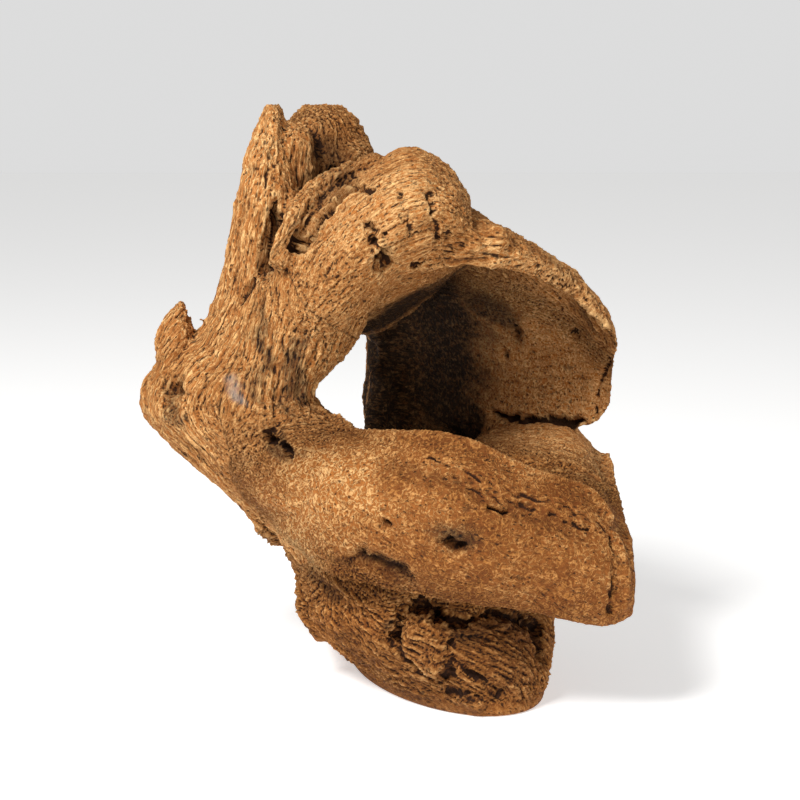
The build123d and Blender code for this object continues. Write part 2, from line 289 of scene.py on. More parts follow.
# Places are percentages of the log's box: across, back and up. Each row: depth (negative stands proud), half
# width, then the places that it runs through. Depths and widths are millimetres.
CARVED = {
    "stump scoop": (2.6, 7.0, [(38, 48, 92), (41, 50, 92), (43, 49, 90)]),
    "stump wrinkles": (2.4, 1.2, [(42, 48, 89), (45, 42, 88), (47, 32, 88)]),
    "stump wrinkles low": (2.4, 1.2, [(43, 42, 86), (47, 29, 87), (49, 26, 86)]),
    "crevice left of the roll": (9.0, 2.7, [(31, 34, 82), (29, 33, 79), (28, 32, 76), (27, 32, 73)]),
    "crevice right of the roll": (9.0, 2.5, [(45, 31, 86), (42, 30, 84), (39, 30, 82), (38, 29, 80),
                                             (36, 29, 77)]),
    "fold crack": (5.0, 1.3, [(48, 21, 82), (49, 20, 79), (51, 20, 76), (53, 24, 74)]),
    "fold hole": (7.0, 2.0, [(51, 21, 75), (53, 23, 73)]),
    "fold small hole": (4.0, 1.2, [(52, 20, 79)]),
    "scales on the fold": (1.8, 1.1, [(55, 22, 86), (56, 21, 82), (58, 21, 79)]),
    "scales beside them": (1.8, 1.1, [(60, 24, 85), (61, 24, 81), (62, 26, 78)]),
    "crease under the fold": (2.4, 1.4, [(58, 29, 74), (61, 26, 76), (64, 24, 79)]),
    "nobs over the mouth": (-1.6, 2.4, [(66, 28, 76), (70, 29, 77), (74, 29, 77)]),
    "ridge groove": (1.3, 2.2, [(27, 41, 96), (25, 38, 87), (23, 38, 79), (20, 38, 68)]),
    "ridge groove right": (1.2, 2.0, [(30, 38, 92), (28, 34, 84), (25, 34, 78), (24, 33, 72)]),
    "ridge slot": (3.0, 0.8, [(25, 33, 71), (25, 33, 69), (24, 33, 67)]),
    "trunk groove left": (1.2, 2.6, [(21, 36, 67), (18, 37, 60), (16, 32, 56), (15, 32, 48)]),
    "trunk groove middle": (1.2, 2.4, [(27, 31, 68), (25, 30, 61), (24, 27, 55), (24, 26, 48)]),
    "trunk groove right": (1.3, 2.8, [(35, 27, 63), (31, 27, 56), (30, 24, 48)]),
    "upper knot hole": (6.0, 1.5, [(29, 23, 46), (30, 22, 45)]),
    "lower knot hole": (5.0, 1.2, [(33, 21, 44), (34, 20, 43)]),
    "knob hollow": (8.0, 4.2, [(8, 37, 52), (9, 36, 52)]),
    "knob rim": (-1.8, 2.0, [(4, 38, 54), (5, 36, 48), (10, 34, 47)]),
    "knob pit": (4.0, 1.6, [(12, 41, 39)]),
    "lip pit": (3.5, 1.6, [(52, 5, 34), (53, 5, 34)]),
    "lip knot": (5.0, 1.7, [(63, 1, 32), (65, 1, 31)]),
    "lip knot dish": (1.2, 5.0, [(63, 1, 31), (65, 1, 32)]),
    "lip slot": (3.5, 1.0, [(71, 2, 38), (73, 2, 37), (75, 2, 37)]),
    "lip crater": (3.6, 2.8, [(47, 9, 28), (50, 8, 27), (54, 6, 25)]),
    "pitted patch": (1.8, 3.2, [(39, 27, 19), (42, 22, 18)]),
    "cleft": (8.0, 2.2, [(53, 13, 13), (55, 14, 16), (57, 14, 18), (60, 14, 19), (62, 14, 17)]),
    "undercut of the apron": (5.0, 1.8, [(62, 14, 17), (66, 13, 16), (70, 15, 16), (76, 19, 16), (84, 26, 13)]),
    "tongue": (-3.2, 3.6, [(56, 13, 14), (59, 13, 14), (62, 12, 12), (62, 11, 9)]),
    "tongue edge": (3.0, 1.1, [(54, 15, 12), (57, 13, 8), (62, 11, 6), (65, 11, 8), (66, 11, 12)]),
    "splinters": (2.6, 1.0, [(65, 11, 10), (70, 10, 7), (76, 12, 4)]),
    "splinters beside them": (2.2, 0.9, [(65, 12, 13), (69, 13, 13), (75, 15, 12)]),
    "splinters low": (2.0, 0.9, [(58, 14, 6), (64, 12, 4), (70, 11, 3)]),
    "root recess": (6.0, 3.4, [(83, 23, 12), (84, 22, 8)]),
    "foot flake": (-2.0, 2.4, [(67, 11, 3), (70, 11, 2)]),
    "crest": (-2.6, 1.9, [(42, 31, 47), (51, 19, 46), (59, 14, 46), (66, 12, 45), (74, 11, 43), (81, 11, 40),
                          (90, 13, 38), (95, 10, 34)]),
    "hollow under the crest": (1.9, 3.2, [(53, 12, 42), (62, 7, 41), (70, 4, 39), (79, 3, 36), (90, 5, 32)]),
    "line under the crest": (1.25, 0.7, [(60, 9, 44), (70, 5, 42), (77, 5, 39), (85, 6, 37), (94, 8, 33)]),
    "second line under the crest": (1.1, 0.6, [(63, 5, 42), (71, 4, 40), (79, 4, 37), (90, 6, 33)]),
    "lip's right rim": (-1.4, 1.6, [(97, 8, 32), (98, 6, 26), (98, 6, 20)]),
    "line inside the rim": (1.6, 0.9, [(94, 8, 31), (95, 5, 25), (95, 6, 19)]),
    "crack under the wall": (5.0, 1.5, [(75, 71, 42), (80, 67, 43), (85, 64, 42), (93, 58, 43)]),
    "deep hole": (4.0, 5.0, [(62, 80, 39), (66, 76, 39), (70, 72, 39)]),
    "wall pit": (3.5, 2.0, [(79, 65, 59)]),
    "wall pit right": (3.0, 1.4, [(92, 55, 59)]),
    "wall pit low": (2.5, 1.4, [(77, 67, 54)]),
    "line round the roof's end": (1.6, 1.1, [(98, 50, 56), (97, 55, 50), (96, 56, 45)]),
    "knot behind the wall": (3.5, 2.2, [(74, 92, 62)]),
    "knot behind the wall, low": (3.0, 1.6, [(62, 99, 50)]),
    "wrinkle behind the wall": (1.6, 1.6, [(55, 99, 65), (74, 92, 68), (90, 74, 66)]),
    "wrinkle behind the wall, low": (1.7, 1.5, [(56, 99, 47), (76, 92, 53), (94, 68, 50)]),
    "split behind the root": (3.0, 1.4, [(60, 84, 28), (62, 84, 18), (60, 82, 6)]),
    "split behind the heel": (2.6, 1.3, [(44, 80, 26), (42, 78, 14), (44, 74, 4)]),
    "groove behind the trunk": (1.8, 2.0, [(18, 66, 46), (28, 74, 36), (38, 80, 28)]),
    "knot behind the trunk": (4.5, 2.0, [(24, 72, 52)]),
    "groove behind the stump": (1.8, 1.8, [(38, 92, 92), (36, 96, 80), (34, 92, 68)]),
    "split on the root's right": (3.0, 1.5, [(86, 48, 22), (88, 46, 12), (85, 46, 3)]),
    "rim of the roof": (-1.3, 1.8, [(73, 28, 74), (80, 30, 75), (91, 35, 69), (96, 38, 63)]),
}
# Stains, broken patches and painted shade in recesses: how dark, how broken up, half width and places, as above.
STAINS_AND_PAINTED_SHADE = {
    "dark streak on the trunk": (0.7, 1.3, 4.0, [(35, 28, 62), (33, 27, 56), (35, 28, 50)]),
    "second streak": (0.6, 1.3, 3.0, [(27, 31, 66), (28, 29, 60), (27, 27, 54)]),
    # Painted shade in the trunk's knot holes.
    "trunk holes": (0.6, 0.5, 2.6, [(29, 23, 46), (32, 21, 44), (35, 20, 43)]),
    "lip knot halo": (0.8, 0.0, 6.5, [(64, 1, 32)]),
    "crater": (0.55, 1.0, 4.0, [(46, 9, 27), (50, 8, 27), (54, 6, 25)]),
    "pitted patch": (0.5, 1.0, 4.4, [(39, 27, 19), (42, 22, 18)]),
    # Painted shade in the cleft.
    "cleft": (0.85, 1.0, 2.6, [(54, 14, 14), (57, 14, 18), (61, 14, 17)]),
    # Painted shadow under the apron.
    "under the apron": (0.5, 0.9, 5.0, [(66, 13, 15), (72, 16, 14), (84, 26, 12)]),
    # Painted shade in the root's recess.
    "root recess": (0.6, 1.0, 4.0, [(83, 23, 12), (84, 22, 8)]),
    # Painted shade on the wall inside the cave, left of the lit part.
    "patch on the wall": (0.85, 0.3, 6.5, [(66, 72, 66), (73, 68, 63), (78, 64, 60)]),
    "patch by the roof's rim": (0.6, 0.6, 3.4, [(90, 46, 65), (93, 46, 60)]),
    "stump": (0.35, 0.7, 8.0, [(38, 45, 90), (44, 40, 87)]),
    # Painted shade in the knob's hollow.
    "knob": (0.55, 0.5, 4.0, [(8, 37, 53), (9, 36, 49)]),
    "root": (0.3, 1.0, 12.0, [(48, 24, 8), (60, 15, 5), (76, 14, 8)]),
}
# Painted shade inside the cave, on faces that look towards its middle, given in the same way.
PAINTED_CAVE_SHADE = {
    "cave floor": (1.0, 0.2, 13.0, [(42, 66, 42), (56, 74, 40), (66, 78, 40)]),
    "cave's back": (1.0, 0.2, 21.0, [(52, 85, 44), (53, 84, 58), (58, 78, 66), (63, 78, 56), (60, 80, 46)]),
    "cave's top": (1.0, 0.2, 11.0, [(46, 60, 62), (52, 56, 70), (60, 56, 72)]),
}
CAVE_MIDDLE = (56, 52, 56)
# Painted light: paler patches where light falls, each a half width and places.
PAINTED_LIGHT_PATCHES = {
    "neck": (15.0, [(32, 24, 27), (38, 16, 32), (42, 16, 38), (46, 14, 38)]),
    "ridge": (7.0, [(24, 36, 86), (26, 38, 94)]),
    "brow of the fold": (8.0, [(52, 24, 88), (58, 22, 88), (44, 24, 80)]),
    "wall inside": (19.0, [(80, 62, 60), (86, 60, 50)]),
    "under the roof's rim": (5.0, [(72, 30, 76), (84, 32, 73)]),
}
GREY_STAIN = (3.0, [(22, 29, 54), (23, 29, 53)])
# Wood built up before the surface is worked, so that lobes run into each other: half thickness in millimetres
# and the places that it runs through, as above.
BUILT_UP = {
    "web between ridge and stump": (9.0, [(33.5, 47, 92.5), (34, 48, 86), (37, 50, 78)]),
    "trunk's underside": (5.0, [(13, 45, 41), (18, 45, 36.5), (24, 45, 31), (29, 45, 25)]),
    "top of the stump": (9.0, [(40, 55, 92), (44, 54, 90)]),
    "roll over the crevices": (4.5, [(31, 30, 75), (33, 32, 80), (35.5, 34, 83), (39, 39, 86), (44, 41, 88),
                                     (49, 43, 90)]),
    "wall's left end, high": (4.5, [(47, 88, 65), (48.5, 90, 61), (50, 91, 56)]),
    "wall's left end, low": (4.6, [(50.5, 91, 47), (50, 91, 43), (49.5, 90, 39), (49, 88, 35)]),
    "wall's left end, behind": (6.5, [(50.5, 95, 68), (50, 96, 60), (51, 96, 51), (50, 95, 43), (51, 93, 37)]),
    "roof's left end, behind": (6.5, [(50, 78, 84), (49.5, 85, 77), (50.5, 91, 71)]),
    "floor of the dish": (7.0, [(36, 49, 90), (40, 51, 89), (43, 52, 88)]),
    "root's left shoulder": (7.0, [(38, 36, 14), (40, 38, 10)]),
    "nobs on the roof": (3.2, [(68, 28, 79), (69, 28, 78)]),
    "nob beside them": (3.4, [(74, 30, 79), (75, 30, 78)]),
}
# The hook's tip, in millimetres: its axis, its radius with a little over at each end, and how far it is drawn
# back from the trunk.
HOOK_TIP = ((-61.4, -4.7, 119), (-56.9, -5.7, 118))
HOOK_TIP_RADII = (4.9, 2.4)
HOOK_DRAWN_BACK = 4.5
SEED = 7


def place(across, back, up):
    """A point of the log's box from its percentages, in millimetres."""
    return LOW + (HIGH - LOW) * np.array((across, back, up)) / 100


def wander(points, size, seed):
    """A smooth random offset at each point, about one long, that changes over the size."""
    dice = np.random.default_rng(seed)
    waves = dice.normal(size=(6, 3)) * (1.6 / size)
    phases = dice.uniform(0, 2 * math.pi, (6, 3))
    turns = points @ waves.T
    return np.stack([np.sin(turns + phases[:, c]).sum(1) for c in range(3)], 1) / 2.4


def off_line(points, line, reach):
    """The numbers of the points within reach of a line, and their distances from it."""
    line = np.array(line)
    inside = ((points > line.min(0) - reach) & (points < line.max(0) + reach)).all(1)
    near = np.nonzero(inside)[0]
    distance = np.full(len(near), reach * 4.0)
    starts = line[:-1] if len(line) > 1 else line
    ends = line[1:] if len(line) > 1 else line
    for start, end in zip(starts, ends):
        run = end - start
        share = np.clip((points[near] - start) @ run / max(run @ run, 1e-9), 0, 1)
        distance = np.minimum(distance, np.linalg.norm(points[near] - start - share[:, None] * run, axis=1))
    return near, distance


def on_surface(places, surface):
    """A smooth line through the places, laid on the surface, in millimetres."""
    line = np.array([place(*p) for p in places])
    if len(line) > 1:
        line = smooth_line(line)[0][::MARK_STEP]
    return [np.array(surface.find_nearest(Vector(p) * MM)[0]) / MM for p in line]


def carve(points, normals, surface):
    """Points with everything in CARVED cut in or raised, and how deep each point lies in a cut (0 to 1)."""
    strayed = points + 0.9 * wander(points, 5.0, SEED) + 0.5 * wander(points, 1.8, SEED + 1)
    push = np.zeros(len(points))
    hollow = np.zeros(len(points))
    for depth, width, places in CARVED.values():
        near, distance = off_line(strayed if depth > 0 else points, on_surface(places, surface), width * 3.2)
        bell = np.exp(-(distance / width) ** 2)
        push[near] -= depth * bell
        hollow[near] = np.maximum(hollow[near], np.clip((depth - 1.3) / 2.5, 0, 1) * bell ** 2)
    return points + push[:, None] * normals, hollow


def stain_shade_and_light_shares(points, surface, stains):
    """How strongly the stains, painted shade and painted light along the given lines cover each point, and how
    much they break it up, 0 to 1.
    """
    strayed = points + 2.5 * wander(points, 7.0, SEED + 2) + 0.8 * wander(points, 2.5, SEED + 3)
    dark, broken = np.zeros(len(points)), np.zeros(len(points))
    for depth, roughness, width, places in stains:
        near, distance = off_line(strayed, on_surface(places, surface), width * 2.5)
        share = np.exp(-(distance / width) ** 4)
        dark[near] = np.maximum(dark[near], depth * share)
        broken[near] = np.maximum(broken[near], roughness * share)
    return dark, broken


def smooth_line(points):
    """Points along a smooth line through the given ones, their directions and their distances along it."""
    p = np.array(points, float)
    p = np.concatenate([[2 * p[0] - p[1]], p, [2 * p[-1] - p[-2]]])
    share = np.arange(SPINE_STEPS)[:, None] / SPINE_STEPS
    line = []
    for a, b, c, d in zip(p, p[1:], p[2:], p[3:]):
        line.append(0.5 * (2 * b + (c - a) * share + (2 * a - 5 * b + 4 * c - d) * share ** 2
                           + (3 * b - a - 3 * c + d) * share ** 3))
    line = np.concatenate(line + [p[-2:-1]])
    ahead = np.gradient(line, axis=0)
    directions = ahead / np.linalg.norm(ahead, axis=1)[:, None]
    along = np.concatenate([[0], np.cumsum(np.linalg.norm(np.diff(line, axis=0), axis=1))])
    return line, directions, along


def grain_of(points):
    """For each point its place along and across the wood's fibres, and its tangled, pale and rough shares."""
    count = len(points)
    best = np.full(count, 1e9)
    space = np.zeros((count, 3))
    weights = np.zeros(count)
    shares = np.zeros((count, 3))
    for number, (places, radius, *here_shares) in enumerate(SPINES.values()):
        line, directions, along = smooth_line(places)
        distance = np.empty(count)
        nearest = np.empty(count, int)
        for start in range(0, count, 60000):
            part = points[start:start + 60000]
            squares = (part ** 2).sum(1)[:, None] + (line ** 2).sum(1)[None] - 2 * part @ line.T
            nearest[start:start + 60000] = squares.argmin(1)
            distance[start:start + 60000] = np.sqrt(np.maximum(squares.min(1), 0))
        offset = points - line[nearest]
        ahead = directions[nearest]
        sideways = np.cross(ahead, (0, 1, 0))
        here = np.stack([along[nearest] + (offset * ahead).sum(1) + 400 * number, offset[:, 1],
                         (offset * sideways).sum(1)], 1)
        score = distance / radius
        better = score < best
        best = np.where(better, score, best)
        space[better] = here[better]
        weight = np.exp(-6.0 * score)
        weights += weight
        shares += weight[:, None] * np.array(here_shares)
    return space, shares / weights[:, None]


def store(mesh, name, values):
    """Stores a number or a vector at every point of a mesh."""
    kind = "FLOAT" if values.ndim == 1 else "FLOAT_VECTOR"
    layer = mesh.attributes.new(name, kind, "POINT")
    layer.data.foreach_set("value" if values.ndim == 1 else "vector", values.astype(np.float32).ravel())


# ---- the grain's relief ----

def relief_tree():
    """Geometry nodes that raise lumps, ripples and bundles of fibres along the grain, and sink pores in it."""
    tree = bpy.data.node_groups.new("weathered_grain", "GeometryNodeTree")
    socket = tree.interface.new_socket
    socket("Geometry", in_out="INPUT", socket_type="NodeSocketGeometry")
    for name, value in RELIEF.items():
        made = socket(name, in_out="INPUT", socket_type="NodeSocketFloat")
        made.default_value = value
        made.subtype = "DISTANCE"
    socket("Seed", in_out="INPUT", socket_type="NodeSocketFloat").default_value = SEED
    socket("Finish", in_out="INPUT", socket_type="NodeSocketMaterial")
    socket("Geometry", in_out="OUTPUT", socket_type="NodeSocketGeometry")
    given = add_node(tree, "NodeGroupInput").outputs

    def math_of(operation, a, b=0.0, c=0.0):
        return add_node(tree, "ShaderNodeMath", {0: a, 1: b, 2: c}, operation=operation).outputs[0]

    def attribute(name, kind="FLOAT"):
        made = add_node(tree, "GeometryNodeInputNamedAttribute", {"Name": name}, data_type=kind)
        return made.outputs[0]

    def noise(vector, detail, roughness=0.55, distortion=0.0, offset=0.0):
        w = math_of("ADD", given["Seed"], offset)
        return add_node(tree, "ShaderNodeTexNoise",
                        {"Vector": vector, "W": w, "Scale": 1.0, "Detail": detail, "Roughness": roughness,
                         "Distortion": distortion}, noise_dimensions="4D").outputs[0]

    space = attribute("grain_space", "FLOAT_VECTOR")
    tangle = attribute("tangle")
    rough = attribute("rough")
    where = add_node(tree, "GeometryNodeInputPosition").outputs[0]

    def in_grain(length, width):
        """The place in the wood, counted in pattern lengths; tangled wood has shorter ones."""
        short = math_of("MULTIPLY", width, 2.2)
        mixed = add_node(tree, "ShaderNodeMix", {0: tangle, 2: length, 3: short}, data_type="FLOAT").outputs[0]
        size = add_node(tree, "ShaderNodeCombineXYZ", {0: mixed, 1: width, 2: width}).outputs[0]
        return add_node(tree, "ShaderNodeVectorMath", {0: space, 1: size}, operation="DIVIDE").outputs[0]

    per_lump = math_of("DIVIDE", 1.0, given["Lump size"])
    lump_place = add_node(tree, "ShaderNodeVectorMath", {0: where, 3: per_lump}, operation="SCALE").outputs[0]
    lump = math_of("MULTIPLY_ADD", noise(lump_place, 4.0), 2.0, -1.0)
    ripple_noise = noise(in_grain(given["Ripple length"], given["Ripple width"]), 2.0, 0.5, 0.4, 11.0)
    ripple = math_of("MULTIPLY_ADD", math_of("ABSOLUTE", math_of("SUBTRACT", ripple_noise, 0.5)), 5.0, -0.5)
    ripple = math_of("MINIMUM", ripple, 0.35)
    fibre_noise = noise(in_grain(given["Fibre length"], given["Fibre width"]), 2.0, 0.6, 0.6, 23.0)
    fibre = math_of("MULTIPLY_ADD", fibre_noise, 4.0, -2.0)
    pore_noise = noise(in_grain(math_of("MULTIPLY", given["Fibre width"], 5.0),
                                math_of("MULTIPLY", given["Fibre width"], 1.3)), 1.0, 0.5, 0.3, 37.0)
    pore = add_node(tree, "ShaderNodeMapRange", {0: pore_noise, 1: 0.6, 2: 0.72, 3: 0.0, 4: 1.0},
                    interpolation_type="SMOOTHSTEP").outputs[0]
    height = math_of("MULTIPLY", ripple, given["Ripple depth"])
    height = math_of("MULTIPLY_ADD", fibre, given["Fibre depth"], height)
    sunk = math_of("MULTIPLY", pore, given["Pore depth"])
    height = math_of("MULTIPLY", math_of("SUBTRACT", height, sunk), rough)
    lump = math_of("MULTIPLY", lump, math_of("MULTIPLY_ADD", rough, 0.7, 0.3))
    height = math_of("MULTIPLY_ADD", lump, given["Lump depth"], height)
    height = math_of("MULTIPLY", height, attribute("free"))

    normal = add_node(tree, "GeometryNodeInputNormal").outputs[0]
    lift = add_node(tree, "ShaderNodeVectorMath", {0: normal, 3: height}, operation="SCALE").outputs[0]
    moved = add_node(tree, "GeometryNodeSetPosition",
                     {"Geometry": given["Geometry"], "Offset": lift}).outputs[0]
    raised = add_node(tree, "GeometryNodeStoreNamedAttribute",
                      {"Geometry": moved, "Name": "raised",
                       "Value": math_of("MULTIPLY_ADD", fibre, 0.5, math_of("MULTIPLY", ripple, 0.8))},
                      data_type="FLOAT", domain="POINT").outputs[0]
    pored = add_node(tree, "GeometryNodeStoreNamedAttribute",
                     {"Geometry": raised, "Name": "pore", "Value": pore},
                     data_type="FLOAT", domain="POINT").outputs[0]
    real = add_node(tree, "GeometryNodeRealizeInstances", {"Geometry": pored}).outputs[0]
    painted = add_node(tree, "GeometryNodeSetMaterial",
                       {"Geometry": real, "Material": given["Finish"]}).outputs[0]
    add_node(tree, "NodeGroupOutput", {"Geometry": painted})
    return tree


def grained(mesh, finish, sizes):
    """The skin with the relief of its grain."""
    made = mesh_object("log_skin", mesh)
    tree = relief_tree()
    modifier = made.modifiers.new("weathered_grain", "NODES")
    modifier.node_group = tree
    values = {name: getattr(sizes, name.lower().replace(" ", "_")) for name in RELIEF}
    values["Finish"] = finish
    for item in tree.interface.items_tree:
        if item.in_out == "INPUT" and item.name in values:
            modifier[item.identifier] = values[item.name]
    return baked(made, "log_grained")


RELAXED_OVER = 1.6  # millimetres over which the remeshed skin's steps are relaxed away
PAINTED_LIGHT_SHARE = 0.75  # how much paler a patch of painted light is
FOOT_FLAT, FOOT_FADE = 1.0, 5.0  # millimetres above the ground without relief, and over which it sets in
# Rounds of relaxing against which a point's depth is measured: among its fibres, and among the lumps. The finish
# paints shade where a point lies below its neighbours, and a highlight where it stands above them.
SUNKEN_ROUNDS = {"crisp": 3, "broad": 28}


def sculpted_log(finish, sizes):
    """The whole log as one skin, with everything that its castings will show."""
    skin = sizes.skin * 1.0
    mesh = joined_skin(skin)
    edges = edges_of(mesh)
    rounds = int((RELAXED_OVER * MM / skin) ** 2) + 1
    points = relaxed(points_of(mesh), edges, rounds)
    set_points(mesh, points)
    surface_object = mesh_object("smooth_log", mesh.copy())
    surface = BVHTree.FromObject(surface_object, bpy.context.evaluated_depsgraph_get())
    bpy.data.objects.remove(surface_object)
    normals = normals_of(mesh)
    points, hollow = carve(points, normals, surface)
    space, shares = grain_of(points)
    # Stains, and painted shade in recesses and under the apron.
    stain, broken = stain_shade_and_light_shares(points, surface, STAINS_AND_PAINTED_SHADE.values())
    # Painted shade inside the cave, on faces that look towards its middle.
    inwards = place(*CAVE_MIDDLE) - points
    facing = (normals * inwards).sum(1) / np.linalg.norm(inwards, axis=1)
    painted_cave_shade, _ = stain_shade_and_light_shares(points, surface, PAINTED_CAVE_SHADE.values())
    stain = np.maximum(stain, painted_cave_shade * np.clip(facing * 4.0 + 0.5, 0, 1))
    grey, _ = stain_shade_and_light_shares(points, surface, [(1.0, 0.0, *GREY_STAIN)])
    # Painted light on patches where light falls.
    painted_light, _ = stain_shade_and_light_shares(points, surface, [(PAINTED_LIGHT_SHARE, 0.0, *patch) for patch in PAINTED_LIGHT_PATCHES.values()])
    store(mesh, "grain_space", space * MM)
    store(mesh, "tangle", shares[:, 0])
    # The wood's paleness, with the painted light added.
    store(mesh, "pale", shares[:, 1] + painted_light)
    store(mesh, "rough", np.maximum(shares[:, 2], broken))
    # Depth in the cuts, which the finish paints as shade.
    store(mesh, "hollow", hollow)
    store(mesh, "stain", stain)
    store(mesh, "grey", grey)
    store(mesh, "free", np.clip((points[:, 2] - FOOT_FLAT) / FOOT_FADE, 0, 1))
    set_points(mesh, points)
    mesh = grained(mesh, finish, sizes)
    points = points_of(mesh)
    low, high = points.min(0), points.max(0)
    points = LOW + (points - low) * (HIGH - LOW) / (high - low)
    set_points(mesh, points)
    normals = normals_of(mesh)
    for name, rounds in SUNKEN_ROUNDS.items():
        sunk = ((relaxed(points, edges, rounds) - points) * normals).sum(1)
        store(mesh, name, sunk)
    store(mesh, "skin_normal", normals)
    return mesh


# ---- sawing ----

SAW_SHIFTS = (0.0, 0.02, -0.02, 0.05, -0.05, 0.1, -0.1, 0.2, -0.2)  # millimetres, tried in this order


def flaws_of(skin):
    """How many of a skin's edges don't join exactly two faces."""
    return sum(len(edge.link_faces) != 2 for edge in skin.edges)


def sawn_side(whole, seam, beyond):
    """A copy of a closed skin's part on one side of a seam, with its cut closed.

    A cut that can't be closed, because it runs along the skin's own edges, is moved by a hair.
    """
    point, normal = SEAMS[seam]
    way = Vector(normal).normalized() * (-1 if beyond else 1)
    flaws = flaws_of(whole)
    for shift in SAW_SHIFTS:
        kept = whole.copy()
        geometry = kept.verts[:] + kept.edges[:] + kept.faces[:]
        bmesh.ops.bisect_plane(kept, geom=geometry, dist=1e-7, plane_co=Vector(point) * MM + way * (shift * MM),
                               plane_no=normal, clear_inner=beyond, clear_outer=not beyond)
        open_edges = [e for e in kept.edges if len(e.link_faces) == 1]
        filled = bmesh.ops.triangle_fill(kept, use_beauty=True, use_dissolve=False, edges=open_edges,
                                         normal=way)
        if flaws_of(kept) <= flaws:
            break
        kept.free()
    else:
        raise RuntimeError(f"the cut of seam {seam} can't be closed")
    cap = kept.faces.layers.int.get("cap")
    for face in filled["geom"]:
        if isinstance(face, bmesh.types.BMFace):
            face[cap] = 1
            if face.normal.dot(way) < 0:
                face.normal_flip()
    return kept


def saw(whole, step):
    """Saws a skin as a step of SAWING says, and gives (name, skin) for each casting."""
    if isinstance(step, str):
        return [(step, whole)]
    seam, behind, beyond = step
    halves = [(sawn_side(whole, seam, False), behind), (sawn_side(whole, seam, True), beyond)]
    whole.free()
    return [pair for half, rest in halves for pair in saw(half, rest)]


def shade(mesh):
    """Smooth shading that runs on over the seams, and flat seam faces."""
    count = len(mesh.loops)
    loop_points = np.empty(count, np.int32)
    mesh.loops.foreach_get("vertex_index", loop_points)
    skin = np.empty(len(mesh.vertices) * 3, np.float32)
    mesh.attributes["skin_normal"].data.foreach_get("vector", skin)
    normals = skin.reshape(-1, 3)[loop_points]
    cap = np.empty(len(mesh.polygons), np.int32)
    mesh.attributes["cap"].data.foreach_get("value", cap)
    flat = np.empty(len(mesh.polygons) * 3, np.float32)
    mesh.polygon_normals.foreach_get("vector", flat)
    corners = np.empty(len(mesh.polygons), np.int32)
    mesh.polygons.foreach_get("loop_total", corners)
    of_cap = np.repeat(cap, corners) > 0
    normals[of_cap] = np.repeat(flat.reshape(-1, 3), corners, axis=0)[of_cap]
    normals /= np.maximum(np.linalg.norm(normals, axis=1), 1e-9)[:, None]
    mesh.polygons.foreach_set("use_smooth", np.ones(len(mesh.polygons), bool))
    mesh.normals_split_custom_set(normals.tolist())
    for name in ("cap", "skin_normal", "free"):
        mesh.attributes.remove(mesh.attributes[name])


# ---- finishes ----

